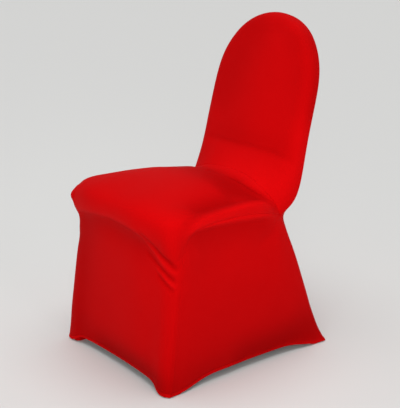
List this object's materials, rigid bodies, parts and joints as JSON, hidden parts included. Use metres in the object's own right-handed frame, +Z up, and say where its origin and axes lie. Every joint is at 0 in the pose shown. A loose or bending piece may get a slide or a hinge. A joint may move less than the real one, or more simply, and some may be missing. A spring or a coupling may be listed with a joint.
{
  "type": "chair cover",
  "caption": "Stretch cloth cover for a round-back banquet chair, hollow, with seamed panels, a folded hem and foot pockets.",
  "frame": {"origin": "middle of the footprint on the floor, where the foot pockets stand", "axes": "+Z up, -Y towards the front apron, +X towards the right side panel as the picture shows it"},
  "size_m": [0.492, 0.6012, 0.9106],
  "materials": {
    "cloth": "red knitted polyester and elastane, matt with a faint sheen"
  },
  "bodies": {
    "root": {"seat_apron": "cloth", "side_panel_left": "cloth", "side_panel_right": "cloth", "backrest_front": "cloth", "back_panel": "cloth", "foot_pocket_front_left": "cloth", "foot_pocket_front_right": "cloth", "foot_pocket_rear_left": "cloth", "foot_pocket_rear_right": "cloth"}
  },
  "joints": []
}
